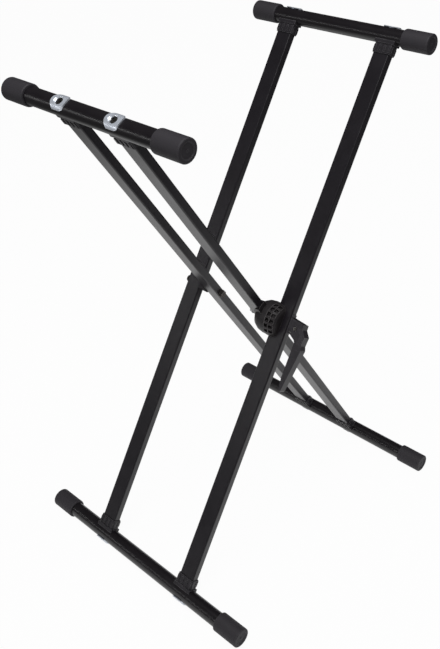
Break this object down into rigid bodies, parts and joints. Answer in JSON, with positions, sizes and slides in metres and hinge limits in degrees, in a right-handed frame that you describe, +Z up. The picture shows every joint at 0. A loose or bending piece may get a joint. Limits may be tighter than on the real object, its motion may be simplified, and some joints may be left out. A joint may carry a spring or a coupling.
{
  "type": "folding keyboard stand",
  "caption": "Folding X stand with double-tube legs, round rails with end caps, and a toothed clutch released by a squeeze lever.",
  "frame": {"origin": "on the floor, under the pivot, halfway between the ends of the bars", "axes": "+Z up, X along the bars with the clutch and lever at +X, Y across the X shape with the inner frame's top bar at -Y"},
  "size_m": [0.5326, 0.6376, 0.9777],
  "materials": {
    "bar_paint": "satin black powder coat",
    "leg_paint": "satin black powder coat",
    "cap_plastic": "moulded, matte",
    "collar_plastic": "moulded, satin",
    "bright_zinc": "bright zinc plate",
    "screw_steel": "zinc plate",
    "plug_steel": "plain",
    "clutch_plastic": "moulded, satin",
    "mechanism_steel": "plain",
    "spring_steel": "oiled wire",
    "lever_paint": "satin black powder coat",
    "bush_plastic": "moulded",
    "spacer_plastic": "moulded",
    "pivot_steel": "black oxide"
  },
  "bodies": {
    "outer_frame": {"clutch_outer_half": "clutch_plastic", "front_foot_bar": "bar_paint", "front_foot_cap_left": "cap_plastic", "front_foot_cap_right": "cap_plastic", "front_foot_collar_left": "collar_plastic", "front_foot_collar_right": "collar_plastic", "front_foot_screws": "screw_steel", "front_foot_washers": "bright_zinc", "leg_spacer": "spacer_plastic", "lever_bracket": "lever_paint", "lever_hinge_pin": "mechanism_steel", "outer_leg_left": "leg_paint", "outer_leg_left_plugs": "plug_steel", "outer_leg_right": "leg_paint", "outer_leg_right_plugs": "plug_steel", "pivot_bolt": "pivot_steel", "pivot_nut": "pivot_steel", "pivot_sleeve": "pivot_steel", "pivot_washer": "pivot_steel", "rear_top_bar": "bar_paint", "rear_top_cap_left": "cap_plastic", "rear_top_cap_right": "cap_plastic", "rear_top_collar_left": "collar_plastic", "rear_top_collar_right": "collar_plastic", "rear_top_screws": "screw_steel", "rear_top_washers": "bright_zinc", "rod_spring": "spring_steel"},
    "inner_frame": {"clutch_inner_half": "clutch_plastic", "front_top_bar": "bar_paint", "front_top_cap_left": "cap_plastic", "front_top_cap_right": "cap_plastic", "front_top_collar_left": "collar_plastic", "front_top_collar_right": "collar_plastic", "front_top_screws": "screw_steel", "front_top_washers": "bright_zinc", "inner_leg_left": "leg_paint", "inner_leg_left_plugs": "plug_steel", "inner_leg_right": "leg_paint", "inner_leg_right_plugs": "plug_steel", "left_bush": "bush_plastic", "rear_foot_bar": "bar_paint", "rear_foot_cap_left": "cap_plastic", "rear_foot_cap_right": "cap_plastic", "rear_foot_collar_left": "collar_plastic", "rear_foot_collar_right": "collar_plastic", "rear_foot_screws": "screw_steel", "rear_foot_washers": "bright_zinc", "right_bush": "bush_plastic"},
    "release_lever": {"release_lever": "lever_paint"},
    "release_rod": {"clutch_dog": "mechanism_steel", "release_rod": "mechanism_steel", "rod_collar": "mechanism_steel", "rod_cross_pin": "mechanism_steel", "rod_nut": "mechanism_steel", "rod_washer": "mechanism_steel"}
  },
  "joints": [
    {"name": "fold", "type": "hinge", "parent": "outer_frame", "child": "inner_frame", "pos_m": [0, 0, 0.48885], "axis": [1, 0, 0], "range_deg": [-60, 47]},
    {"name": "squeeze", "type": "hinge", "parent": "outer_frame", "child": "release_lever", "pos_m": [0.1395, -0.00484, 0.48126], "axis": [0, 0.8429, -0.538], "range_deg": [0, 14], "stiffness_Nm_per_rad": 0.5, "springref_deg": -17.19},
    {"name": "rod_pull", "type": "slide", "parent": "outer_frame", "child": "release_rod", "axis": [1, 0, 0], "range_m": [0, 0.0025]}
  ],
  "couplings": [
    {"joint": "rod_pull", "follows": "squeeze", "m_per_rad": 0.0102}
  ]
}
